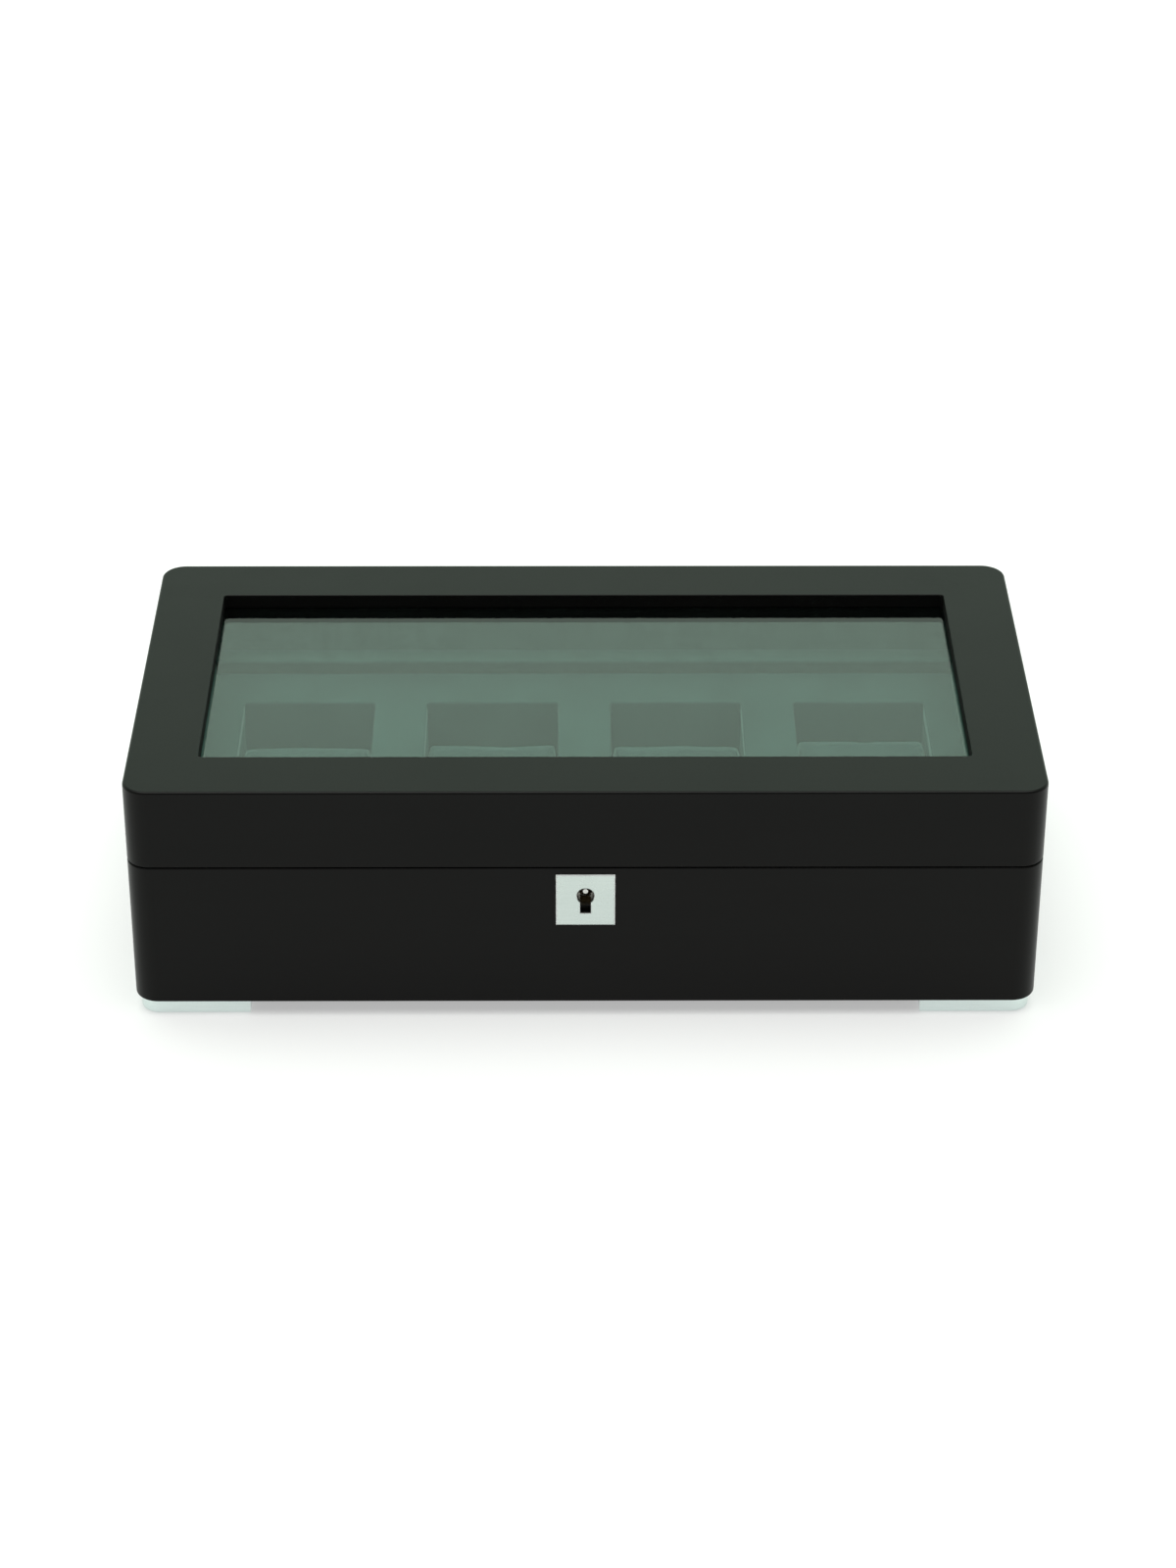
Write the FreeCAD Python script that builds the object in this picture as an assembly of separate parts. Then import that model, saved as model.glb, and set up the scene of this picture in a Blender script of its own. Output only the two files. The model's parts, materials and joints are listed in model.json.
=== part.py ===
import FreeCAD, Part
import math
import os

# Lockable watch box for four watches: satin black lacquered wooden case, glazed hinged lid,
# suede-covered insert with four pockets, each with its own loose watch cushion, box lock in the
# front wall, two flush butt hinges in the back wall, four polished L-shaped corner feet.
# Millimetres. +X to the right, +Y to the back, +Z up. Origin on the resting surface, under the
# centre of the case.

V = FreeCAD.Vector

# ---------------------------------------------------------------- driving dimensions
CASE_W = 320.0          # outside width, X
CASE_D = 170.0          # outside depth, Y
CASE_R = 8.5            # radius of the upright corners
FOOT_H = 5.6            # height of the metal feet
BASE_TOP = 61.2         # rim of the base
LID_GAP = 0.5           # gap between the two rims
LID_TOP = 92.0          # top of the lid
WALL = 14.0             # wooden walls
LID_EDGE_R = 1.0        # roundover round the top of the lid
RIM_EDGE_R = 0.4        # eased edges at the parting line
BOTTOM_EDGE_R = 0.8

FRAME_MARGIN = 24.7     # width of the lid's frame, all round the window
WINDOW_R = 1.5          # corner radius of the window
WINDOW_DEPTH = 5.0      # from the lid's top to the glass
GLASS_T = 2.0
GLASS_LAP = 4.3         # glass under the frame on each side
TOP_BOARD_UNDER = 84.8  # underside of the lid's top board
RETAINER_Z0 = 79.0      # black-stained frame that holds the glass up
RETAINER_LAP = 0.9      # the retainer's opening is larger than the window by this on each side
LID_LINER_T = 2.0

PANEL_T = 6.0           # bottom panel
PANEL_REBATE = 4.0
LIP_TOP = 64.0          # the base liners stand 2.8 mm proud of the rim
LIP_SET = 2.7           # step from the wall to the lip
LINER_FB = 13.0         # thickness of the front and back liners, below the rim
LINER_LR = 6.5          # thickness of the side liners, below the rim

TRAY_TOP = 58.8
TRAY_T = 4.5
FLOOR_T = 2.5
POCKET_W = 49.0
POCKET_L = 70.0
POCKET_PITCH = 68.5
POCKET_R = 1.5
POCKET_WALL = 2.0

CUSHION_W = 47.4
CUSHION_L = 52.0
CUSHION_H = 38.9
CUSHION_R = 12.0        # rounding of the roll
CUSHION_END_R = 3.0
CUSHION_OFFSET = (-2.8, -0.4, -1.4, 2.4)   # each one sits a little differently, front to back

FOOT_LEG = 39.3
FOOT_WIDTH = 14.0
FOOT_INSET = 1.75
FOOT_EDGE_R = 0.6

PLATE = 20.7            # square keyhole plate
PLATE_T = 1.0
PLATE_PROUD = 0.45
PLATE_BEVEL = 0.4
PLATE_Z = 48.4          # centre of the plate
KEY_Z = 50.1            # centre of the keyhole's round part
KEY_R = 3.1
KEY_SLOT_W = 3.8
KEY_SLOT_DOWN = 7.1     # from the centre of the round part to the foot of the slot
POST_R = 1.15

CASE_LOCK_X = 21.5      # half width of the lock case
CASE_LOCK_Z0 = 40.0
LOCK_Y0 = -79.5         # front of the lock case
LOCK_Y1 = -72.0         # back of the lock case's cap
LOCK_SHEET = 1.0
FLANGE_X = 28.0
FLANGE_Y0 = -81.0
FLANGE_Y1 = -71.6
BOLT_TRAVEL = 4.0
BOLT_Y0, BOLT_Y1 = -75.4, -73.6
HOOK_Y0, HOOK_Y1 = -75.6, -73.4
HOOK_X = (-11.0, 5.0)   # left side of each hook
HOOK_SHANK = 3.0
HOOK_TOE = 3.0
HOOK_Z0 = 53.4
TOE_H = 2.2

HINGE_X = 95.0
HINGE_LEN = 40.0
HINGE_AXIS_Y = 83.1
HINGE_AXIS_Z = BASE_TOP + LID_GAP / 2
KNUCKLE_R = 1.9
PIN_R = 0.9
PIN_CLEAR = 0.05
LEAF_T = 1.5
LEAF_Y0 = 72.2
OPEN_ANGLE = 95.0
SCREW_R = 1.2
SCREW_HEAD_R = 2.6

hw, hd = CASE_W / 2, CASE_D / 2
ix, iy = hw - WALL, hd - WALL
win_x, win_y = hw - FRAME_MARGIN, hd - FRAME_MARGIN
LID_BOT = BASE_TOP + LID_GAP
GLASS_TOP = LID_TOP - WINDOW_DEPTH
base_bot = FOOT_H


# ---------------------------------------------------------------- helpers
def box(x0, x1, y0, y1, z0, z1):
    return Part.makeBox(x1 - x0, y1 - y0, z1 - z0, V(x0, y0, z0))


def rr(x0, x1, y0, y1, r, z0, z1):
    """Upright prism on a rectangle with rounded corners."""
    if r <= 0:
        return box(x0, x1, y0, y1, z0, z1)
    s = math.sqrt(0.5)
    e = []
    pts = [
        (V(x1 - r, y0, z0), V(x1 - r + r * s, y0 + r - r * s, z0), V(x1, y0 + r, z0)),
        (V(x1, y1 - r, z0), V(x1 - r + r * s, y1 - r + r * s, z0), V(x1 - r, y1, z0)),
        (V(x0 + r, y1, z0), V(x0 + r - r * s, y1 - r + r * s, z0), V(x0, y1 - r, z0)),
        (V(x0, y0 + r, z0), V(x0 + r - r * s, y0 + r - r * s, z0), V(x0 + r, y0, z0)),
    ]
    for i, (a, m, b) in enumerate(pts):
        e.append(Part.Arc(a, m, b).toShape())
        nxt = pts[(i + 1) % 4][0]
        if b.distanceToPoint(nxt) > 1e-6:
            e.append(Part.LineSegment(b, nxt).toShape())
    return Part.Face(Part.Wire(Part.__sortEdges__(e))).extrude(V(0, 0, z1 - z0))


def prism_x(points, x0, x1):
    """Prism along X on a polygon given as (y, z) points."""
    w = Part.makePolygon([V(x0, y, z) for y, z in points] + [V(x0, points[0][0], points[0][1])])
    return Part.Face(w).extrude(V(x1 - x0, 0, 0))


def prism_y(points, y0, y1):
    """Prism along Y on a polygon given as (x, z) points."""
    w = Part.makePolygon([V(x, y0, z) for x, z in points] + [V(points[0][0], y0, points[0][1])])
    return Part.Face(w).extrude(V(0, y1 - y0, 0))


def cyl(r, h, p, d=V(0, 0, 1)):
    return Part.makeCylinder(r, h, p, d)


def fillet_where(shape, r, test):
    edges = [e for e in shape.Edges if test(e)]
    return shape.makeFillet(r, edges) if edges else shape


def at_z(e, z, tol=1e-4):
    b = e.BoundBox
    return abs(b.ZMin - z) < tol and abs(b.ZMax - z) < tol


def outer_loop(e, margin=9.5):
    """True for an edge on the case's outside outline."""
    b = e.BoundBox
    return (
        max(abs(b.XMin), abs(b.XMax)) > hw - 0.01 and min(abs(b.XMin), abs(b.XMax)) > hw - margin
    ) or (
        max(abs(b.YMin), abs(b.YMax)) > hd - 0.01 and min(abs(b.YMin), abs(b.YMax)) > hd - margin
    )


def solid(shape):
    s = shape.removeSplitter()
    return s.Solids[0] if len(s.Solids) == 1 else s


def screw(p, d, length, head_r=SCREW_HEAD_R, r=SCREW_R, grow=0.0, slot_deep=0.5):
    """Countersunk screw: its head's face is at p, and it points along d."""
    d = V(d).normalize()
    cone_h = head_r - r
    head = Part.makeCone(head_r + grow, r + grow, cone_h, p, d)
    shank = cyl(r + grow, length - cone_h, p + d * cone_h, d)
    tip = Part.makeCone(r + grow, 0.35 + grow, 1.2, p + d * length, d)
    s = head.fuse([shank, tip])
    if grow == 0.0:
        # cross recess
        if abs(d.z) > 0.9:
            a, b = V(1, 0, 0), V(0, 1, 0)
        else:
            a, b = V(1, 0, 0), V(0, 0, 1)
        for u, w in ((a, b), (b, a)):
            q = p - u * (head_r * 0.62) - w * 0.3 - d * 0.01
            e = u * (head_r * 1.24) + w * 0.6 + d * (slot_deep + 0.01)
            lo = V(min(q.x, q.x + e.x), min(q.y, q.y + e.y), min(q.z, q.z + e.z))
            sx, sy, sz = abs(e.x), abs(e.y), abs(e.z)
            s = s.cut(Part.makeBox(sx, sy, sz, lo))
    return s.removeSplitter()


def compound(items):
    return Part.makeCompound([s for it in items for s in it.Solids])


parts = {}

# ---------------------------------------------------------------- hinge and lock positions
hinge_screw_x = [sx * HINGE_X + dx for sx in (-1, 1) for dx in (-13.0, 13.0)]
HINGE_SCREW_Y = 76.6
FLANGE_SCREW_X = (-24.8, 24.8)
FLANGE_SCREW_Y = -76.3
foot_centres = {
    "foot_front_left": (-1, -1),
    "foot_front_right": (1, -1),
    "foot_back_left": (-1, 1),
    "foot_back_right": (1, 1),
}


def foot_screw_points(sx, sy):
    x_out, y_out = hw - FOOT_INSET, hd - FOOT_INSET
    return [
        (sx * (x_out - FOOT_LEG + 8.0), sy * (y_out - FOOT_WIDTH / 2)),
        (sx * (x_out - FOOT_WIDTH / 2), sy * (y_out - FOOT_LEG + 8.0)),
    ]


bevel = math.radians(OPEN_ANGLE / 2)
BEVEL_GAP = 0.2


def bevel_line(up):
    """Two (y, z) points of the bevelled stop face on the back edge: above the axis for the lid."""
    n = (math.sin(bevel), math.cos(bevel))
    rim = (LID_BOT if up else BASE_TOP)
    dz = abs(rim - HINGE_AXIS_Z)
    y_rim = HINGE_AXIS_Y + (-BEVEL_GAP + n[1] * dz) / n[0]
    dy = hd - HINGE_AXIS_Y
    z_back = (BEVEL_GAP + n[0] * dy) / n[1]
    return y_rim, (HINGE_AXIS_Z + z_back if up else HINGE_AXIS_Z - z_back)


# ---------------------------------------------------------------- base case
body = rr(-hw, hw, -hd, hd, CASE_R, base_bot, BASE_TOP)
body = fillet_where(body, BOTTOM_EDGE_R, lambda e: at_z(e, base_bot))
body = fillet_where(body, RIM_EDGE_R, lambda e: at_z(e, BASE_TOP))
body = body.cut(rr(-ix, ix, -iy, iy, 3.0, base_bot - 1, BASE_TOP + 1))
body = body.cut(
    rr(-ix - PANEL_REBATE, ix + PANEL_REBATE, -iy - PANEL_REBATE, iy + PANEL_REBATE, 5.0, base_bot - 1, base_bot + PANEL_T)
)
y_rim, z_back = bevel_line(False)
body = body.cut(prism_x([(y_rim, BASE_TOP), (y_rim, BASE_TOP + 2), (hd + 2, BASE_TOP + 2), (hd + 2, z_back - 2 * math.tan(bevel)), (hd, z_back)], -hw - 1, hw + 1))
# leaf mortises and knuckle relief
for sx in (-1, 1):
    x0, x1 = sx * HINGE_X - HINGE_LEN / 2 - 0.1, sx * HINGE_X + HINGE_LEN / 2 + 0.1
    body = body.cut(box(x0, x1, LEAF_Y0 - 0.1, HINGE_AXIS_Y, BASE_TOP - LEAF_T - 0.02, BASE_TOP + 1))
    body = body.cut(cyl(KNUCKLE_R + 0.2, x1 - x0, V(x0, HINGE_AXIS_Y, HINGE_AXIS_Z), V(1, 0, 0)))
for x in hinge_screw_x:
    body = body.cut(screw(V(x, HINGE_SCREW_Y, BASE_TOP), V(0, 0, -1), 11.0, grow=0.05))
# lock mortise, flange recess, keyhole passage, plate recess
body = body.cut(box(-CASE_LOCK_X - 0.1, CASE_LOCK_X + 0.1, LOCK_Y0 - 0.1, -iy + 1, CASE_LOCK_Z0 - 0.1, BASE_TOP + 1))
body = body.cut(box(-FLANGE_X - 0.1, FLANGE_X + 0.1, FLANGE_Y0 - 0.1, -iy + 1, BASE_TOP - LOCK_SHEET, BASE_TOP + 1))
for x in FLANGE_SCREW_X:
    body = body.cut(screw(V(x, FLANGE_SCREW_Y, BASE_TOP), V(0, 0, -1), 11.0, grow=0.05))
key_pass = cyl(KEY_R + 1.2, 10, V(0, -hd - 1, KEY_Z), V(0, 1, 0)).fuse(
    box(-KEY_SLOT_W / 2 - 1.0, KEY_SLOT_W / 2 + 1.0, -hd - 1, -hd + 9, KEY_Z - KEY_SLOT_DOWN - 0.6, KEY_Z)
)
body = body.cut(key_pass)
hp = PLATE / 2 + 0.12
body = body.cut(box(-hp, hp, -hd - 1, -hd + PLATE_T - PLATE_PROUD, PLATE_Z - hp, PLATE_Z + hp))
for sx, sy in foot_centres.values():
    for x, y in foot_screw_points(sx, sy):
        body = body.cut(cyl(1.65, 9.2, V(x, y, base_bot - 1)))
parts["base_body"] = solid(body)

# bottom panel
g = 0.1
panel = rr(-ix - PANEL_REBATE + g, ix + PANEL_REBATE - g, -iy - PANEL_REBATE + g, iy + PANEL_REBATE - g, 4.9, base_bot, base_bot + PANEL_T)
for sx, sy in foot_centres.values():
    for x, y in foot_screw_points(sx, sy):
        panel = panel.cut(cyl(1.65, 20, V(x, y, base_bot - 1)))
parts["bottom_panel"] = solid(panel)

# ---------------------------------------------------------------- feet: L-shaped corner plates
foot_screws = []
for name, (sx, sy) in foot_centres.items():
    x_out, y_out = hw - FOOT_INSET, hd - FOOT_INSET
    rc = CASE_R - FOOT_INSET
    xa, xb = sorted((sx * x_out, sx * (x_out - FOOT_LEG)))
    ya, yb = sorted((sy * y_out, sy * (y_out - FOOT_LEG)))
    blk = box(xa, xb, ya, yb, 0, FOOT_H)
    # outer upright edge
    blk = fillet_where(
        blk, rc, lambda e: abs(e.BoundBox.ZMax - FOOT_H) < 1e-6 and abs(e.BoundBox.ZMin) < 1e-6
        and abs(e.BoundBox.XMin - sx * x_out) < 1e-6 and abs(e.BoundBox.YMin - sy * y_out) < 1e-6
    )
    xi = sx * (x_out - FOOT_WIDTH)
    yi = sy * (y_out - FOOT_WIDTH)
    far_x = sx * (x_out - FOOT_LEG - 5)
    far_y = sy * (y_out - FOOT_LEG - 5)
    cutter = box(min(xi, far_x), max(xi, far_x), min(yi, far_y), max(yi, far_y), -1, FOOT_H + 1)
    cutter = fillet_where(
        cutter, 3.0, lambda e: abs(e.BoundBox.XMin - xi) < 1e-6 and abs(e.BoundBox.XMax - xi) < 1e-6
        and abs(e.BoundBox.YMin - yi) < 1e-6 and abs(e.BoundBox.YMax - yi) < 1e-6
    )
    foot = blk.cut(cutter).removeSplitter()
    foot = fillet_where(foot, FOOT_EDGE_R, lambda e: at_z(e, 0.0))
    foot = fillet_where(foot, 0.3, lambda e: abs(e.BoundBox.ZMax - FOOT_H) < 1e-3 and e.BoundBox.ZMin > FOOT_H - 1e-3)
    for x, y in foot_screw_points(sx, sy):
        foot = foot.cut(cyl(3.4, 1.2, V(x, y, -0.01)))
        foot = foot.cut(Part.makeCone(3.25, 1.75, 1.5, V(x, y, 1.19)))
        foot = foot.cut(cyl(1.75, 10, V(x, y, 0)))
        foot_screws.append(screw(V(x, y, 1.25), V(0, 0, 1), 10.5, head_r=3.1, r=1.6))
    parts[name] = solid(foot)
parts["foot_screws"] = compound(foot_screws)

# ---------------------------------------------------------------- base liners (suede-covered boards)
z_in = base_bot + PANEL_T
lipx, lipy = ix - LIP_SET, iy - LIP_SET
in_x, in_y = ix - LINER_LR, iy - LINER_FB
c = 0.05


def soften(shape, r, z):
    return fillet_where(shape, r, lambda e: at_z(e, z) and e.BoundBox.DiagonalLength > 20)


for name, sy in (("base_liner_front", -1), ("base_liner_back", 1)):
    ya, yb = sorted((sy * in_y, sy * (iy - c)))
    low = box(-ix + c, ix - c, ya, yb, z_in, BASE_TOP)
    low = fillet_where(low, 3.0, lambda e: e.BoundBox.ZLength > 10 and abs(abs(e.BoundBox.XMin) - (ix - c)) < 1e-6 and abs(e.BoundBox.YMin - sy * (iy - c)) < 1e-6)
    ya, yb = sorted((sy * in_y, sy * lipy))
    lip = box(-lipx, lipx, ya, yb, BASE_TOP - 5, LIP_TOP)
    lip = fillet_where(lip, 1.4, lambda e: at_z(e, LIP_TOP) and e.BoundBox.XLength > 50)
    parts[name] = solid(low.fuse(lip))
for name, sx in (("base_liner_left", -1), ("base_liner_right", 1)):
    xa, xb = sorted((sx * in_x, sx * (ix - c)))
    low = box(xa, xb, -in_y + c, in_y - c, z_in, BASE_TOP)
    xa, xb = sorted((sx * in_x, sx * lipx))
    lip = box(xa, xb, -in_y + c, in_y - c, BASE_TOP - 5, LIP_TOP)
    lip = fillet_where(lip, 1.2, lambda e: at_z(e, LIP_TOP) and e.BoundBox.YLength > 50)
    parts[name] = solid(low.fuse(lip))

# ---------------------------------------------------------------- insert: floor, grid and top panel
parts["pocket_floor"] = box(-in_x + c, in_x - c, -in_y + c, in_y - c, z_in, z_in + FLOOR_T)
z_grid0, z_grid1 = z_in + FLOOR_T, TRAY_TOP - TRAY_T
px = [(i - 1.5) * POCKET_PITCH for i in range(4)]
hl, hwp = POCKET_L / 2, POCKET_W / 2
tray = box(-in_x + c, in_x - c, -in_y + c, in_y - c, z_grid1, TRAY_TOP)
tray = fillet_where(tray, 0.8, lambda e: at_z(e, TRAY_TOP))
for x in px:
    tray = tray.cut(rr(x - hwp, x + hwp, -hl, hl, POCKET_R, z_grid1 - 1, TRAY_TOP + 1))
tray = fillet_where(
    tray, 0.7,
    lambda e: at_z(e, TRAY_TOP) and abs(e.BoundBox.YMin) < hl + 0.01 and abs(e.BoundBox.YMax) < hl + 0.01,
)
parts["tray_panel"] = solid(tray)
parts["pocket_rail_front"] = box(-in_x + c, in_x - c, -hl - POCKET_WALL, -hl, z_grid0, z_grid1)
parts["pocket_rail_back"] = box(-in_x + c, in_x - c, hl, hl + POCKET_WALL, z_grid0, z_grid1)
walls = []
for x in px:
    walls.append(box(x - hwp - POCKET_WALL, x - hwp, -hl, hl, z_grid0, z_grid1))
    walls.append(box(x + hwp, x + hwp + POCKET_WALL, -hl, hl, z_grid0, z_grid1))
parts["pocket_side_walls"] = compound(walls)

# ---------------------------------------------------------------- watch cushions
for i, (x, dy) in enumerate(zip(px, CUSHION_OFFSET)):
    q = box(x - CUSHION_W / 2, x + CUSHION_W / 2, dy - CUSHION_L / 2, dy + CUSHION_L / 2, z_grid0, z_grid0 + CUSHION_H)
    q = fillet_where(q, CUSHION_R, lambda e: e.BoundBox.XLength > 40)
    q = fillet_where(q, CUSHION_END_R, lambda e: e.BoundBox.XLength < 1e-3)
    parts["watch_cushion_%d" % (i + 1)] = solid(q)

# ---------------------------------------------------------------- lid
lid = rr(-hw, hw, -hd, hd, CASE_R, LID_BOT, LID_TOP)
lid = fillet_where(lid, LID_EDGE_R, lambda e: at_z(e, LID_TOP))
lid = fillet_where(lid, RIM_EDGE_R, lambda e: at_z(e, LID_BOT))
lid = lid.cut(rr(-ix, ix, -iy, iy, 3.0, LID_BOT - 1, TOP_BOARD_UNDER))
lid = lid.cut(rr(-win_x, win_x, -win_y, win_y, WINDOW_R, TOP_BOARD_UNDER - 1, LID_TOP + 1))
lid = fillet_where(
    lid, 0.4, lambda e: at_z(e, LID_TOP) and abs(e.BoundBox.XMax) < win_x + 0.01 and abs(e.BoundBox.XMin) < win_x + 0.01
    and abs(e.BoundBox.YMax) < win_y + 0.01 and abs(e.BoundBox.YMin) < win_y + 0.01
)
gx, gy = win_x + GLASS_LAP, win_y + GLASS_LAP
lid = lid.cut(rr(-gx - 0.3, gx + 0.3, -gy - 0.3, gy + 0.3, 2.0, TOP_BOARD_UNDER - 1, GLASS_TOP))
y_rim, z_back = bevel_line(True)
lid = lid.cut(prism_x([(y_rim, LID_BOT), (y_rim, LID_BOT - 2), (hd + 2, LID_BOT - 2), (hd + 2, z_back + 2 * math.tan(bevel)), (hd, z_back)], -hw - 1, hw + 1))
for sx in (-1, 1):
    x0, x1 = sx * HINGE_X - HINGE_LEN / 2 - 0.1, sx * HINGE_X + HINGE_LEN / 2 + 0.1
    lid = lid.cut(box(x0, x1, LEAF_Y0 - 0.1, HINGE_AXIS_Y, LID_BOT - 1, LID_BOT + LEAF_T + 0.02))
    lid = lid.cut(cyl(KNUCKLE_R + 0.2, x1 - x0, V(x0, HINGE_AXIS_Y, HINGE_AXIS_Z), V(1, 0, 0)))
for x in hinge_screw_x:
    lid = lid.cut(screw(V(x, HINGE_SCREW_Y, LID_BOT), V(0, 0, 1), 11.0, grow=0.05))
STRIKE_T = 1.2
lid = lid.cut(box(-FLANGE_X - 0.1, FLANGE_X + 0.1, FLANGE_Y0 - 0.1, -iy + 1, LID_BOT - 1, LID_BOT + STRIKE_T))
for x in FLANGE_SCREW_X:
    lid = lid.cut(screw(V(x, FLANGE_SCREW_Y, LID_BOT), V(0, 0, 1), 11.0, grow=0.05))
parts["lid_frame"] = solid(lid)

parts["lid_glass"] = rr(-gx, gx, -gy, gy, 1.7, GLASS_TOP - GLASS_T, GLASS_TOP)

ret = rr(-ix + c, ix - c, -iy + c, iy - c, 2.9, RETAINER_Z0, TOP_BOARD_UNDER)
rx, ry = win_x + RETAINER_LAP, win_y + RETAINER_LAP
ret = ret.cut(rr(-rx, rx, -ry, ry, 2.0, RETAINER_Z0 - 1, TOP_BOARD_UNDER + 1))
ret = fillet_where(
    ret, 1.5, lambda e: at_z(e, RETAINER_Z0) and abs(e.BoundBox.XMax) < rx + 0.01 and abs(e.BoundBox.XMin) < rx + 0.01
    and abs(e.BoundBox.YMax) < ry + 0.01 and abs(e.BoundBox.YMin) < ry + 0.01
)
parts["glass_retainer"] = solid(ret)

zl0 = LID_BOT + 0.5
for name, sy in (("lid_liner_front", -1), ("lid_liner_back", 1)):
    ya, yb = sorted((sy * (iy - c), sy * (iy - LID_LINER_T)))
    s = box(-ix + 3.0, ix - 3.0, ya, yb, zl0, RETAINER_Z0 - c)
    parts[name] = fillet_where(s, 0.6, lambda e: at_z(e, zl0) and e.BoundBox.XLength > 50 and abs(e.BoundBox.YMin - sy * (iy - LID_LINER_T)) < 1e-6)
for name, sx in (("lid_liner_left", -1), ("lid_liner_right", 1)):
    xa, xb = sorted((sx * (ix - c), sx * (ix - LID_LINER_T)))
    s = box(xa, xb, -iy + 3.0, iy - 3.0, zl0, RETAINER_Z0 - c)
    parts[name] = fillet_where(s, 0.6, lambda e: at_z(e, zl0) and e.BoundBox.YLength > 50 and abs(e.BoundBox.XMin - sx * (ix - LID_LINER_T)) < 1e-6)

# ---------------------------------------------------------------- hinges
N_KNUCKLES = 5
kl = HINGE_LEN / N_KNUCKLES
base_hs, lid_hs = [], []
for side, sx in (("left", -1), ("right", 1)):
    cx = sx * HINGE_X
    x0 = cx - HINGE_LEN / 2
    y_plate = HINGE_AXIS_Y - KNUCKLE_R - 0.25
    for which in ("base", "lid"):
        z0, z1 = (BASE_TOP - LEAF_T, BASE_TOP) if which == "base" else (LID_BOT, LID_BOT + LEAF_T)
        leaf = rr(x0, x0 + HINGE_LEN, LEAF_Y0, y_plate + 1.0, 1.2, z0, z1).cut(box(x0 - 1, x0 + HINGE_LEN + 1, y_plate, y_plate + 5, z0 - 1, z1 + 1))
        own = range(0, N_KNUCKLES, 2) if which == "base" else range(1, N_KNUCKLES, 2)
        for k in own:
            a = x0 + k * kl + (0.1 if k else 0.0)
            b = x0 + (k + 1) * kl - (0.1 if k < N_KNUCKLES - 1 else 0.0)
            tab = box(a, b, y_plate - 0.5, HINGE_AXIS_Y, z0, z1)
            barrel = cyl(KNUCKLE_R, b - a, V(a, HINGE_AXIS_Y, HINGE_AXIS_Z), V(1, 0, 0))
            leaf = leaf.fuse([tab, barrel])
        leaf = leaf.cut(cyl(PIN_R + PIN_CLEAR, HINGE_LEN + 2, V(x0 - 1, HINGE_AXIS_Y, HINGE_AXIS_Z), V(1, 0, 0)))
        d = V(0, 0, -1) if which == "base" else V(0, 0, 1)
        zs = BASE_TOP if which == "base" else LID_BOT
        for dx in (-13.0, 13.0):
            p = V(cx + dx, HINGE_SCREW_Y, zs)
            leaf = leaf.cut(screw(p, d, 11.0, grow=0.05))
            (base_hs if which == "base" else lid_hs).append(screw(p, d, 10.0))
        parts["hinge_%s_%s_leaf" % (side, which)] = solid(leaf)
    pin = cyl(PIN_R, HINGE_LEN + 0.1, V(x0 - 0.05, HINGE_AXIS_Y, HINGE_AXIS_Z), V(1, 0, 0))
    parts["hinge_%s_pin" % side] = pin
parts["hinge_base_screws"] = compound(base_hs)
parts["hinge_lid_screws"] = compound(lid_hs)

# ---------------------------------------------------------------- lock
kh = cyl(KEY_R, 20, V(0, -hd - 5, KEY_Z), V(0, 1, 0)).fuse(
    box(-KEY_SLOT_W / 2, KEY_SLOT_W / 2, -hd - 5, -hd + 15, KEY_Z - KEY_SLOT_DOWN, KEY_Z)
)
plate = box(-PLATE / 2, PLATE / 2, -hd - PLATE_PROUD, -hd - PLATE_PROUD + PLATE_T, PLATE_Z - PLATE / 2, PLATE_Z + PLATE / 2)
yf = -hd - PLATE_PROUD
plate = plate.makeChamfer(PLATE_BEVEL, [e for e in plate.Edges if abs(e.BoundBox.YMax - yf) < 1e-6 and abs(e.BoundBox.YMin - yf) < 1e-6])
plate = plate.cut(kh).removeSplitter()
plate = plate.makeChamfer(0.2, [e for e in plate.Edges if abs(e.BoundBox.YMax - yf) < 1e-6 and abs(e.BoundBox.YMin - yf) < 1e-6 and max(abs(e.BoundBox.XMin), abs(e.BoundBox.XMax)) < 5])
parts["keyhole_plate"] = solid(plate)

L = LOCK_SHEET
case = box(-CASE_LOCK_X, CASE_LOCK_X, LOCK_Y0, LOCK_Y1 - L, CASE_LOCK_Z0, BASE_TOP)
case = case.cut(box(-CASE_LOCK_X + L, CASE_LOCK_X - L, LOCK_Y0 + L, LOCK_Y1 + 1, CASE_LOCK_Z0 + L, BASE_TOP - L))
flange = rr(-FLANGE_X, FLANGE_X, FLANGE_Y0, FLANGE_Y1, 2.0, BASE_TOP - L, BASE_TOP)
case = case.fuse(flange)
for hx in HOOK_X:
    case = case.cut(box(hx - 0.8, hx + HOOK_SHANK + HOOK_TOE + 0.8, HOOK_Y0 - 0.7, HOOK_Y1 + 0.6, BASE_TOP - L - 1, BASE_TOP + 1))
case = case.cut(kh)
for x in FLANGE_SCREW_X:
    case = case.cut(screw(V(x, FLANGE_SCREW_Y, BASE_TOP), V(0, 0, -1), 11.0, grow=0.05))
parts["lock_case"] = solid(case)
parts["lock_screws"] = compound([screw(V(x, FLANGE_SCREW_Y, BASE_TOP), V(0, 0, -1), 10.0) for x in FLANGE_SCREW_X])

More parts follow.
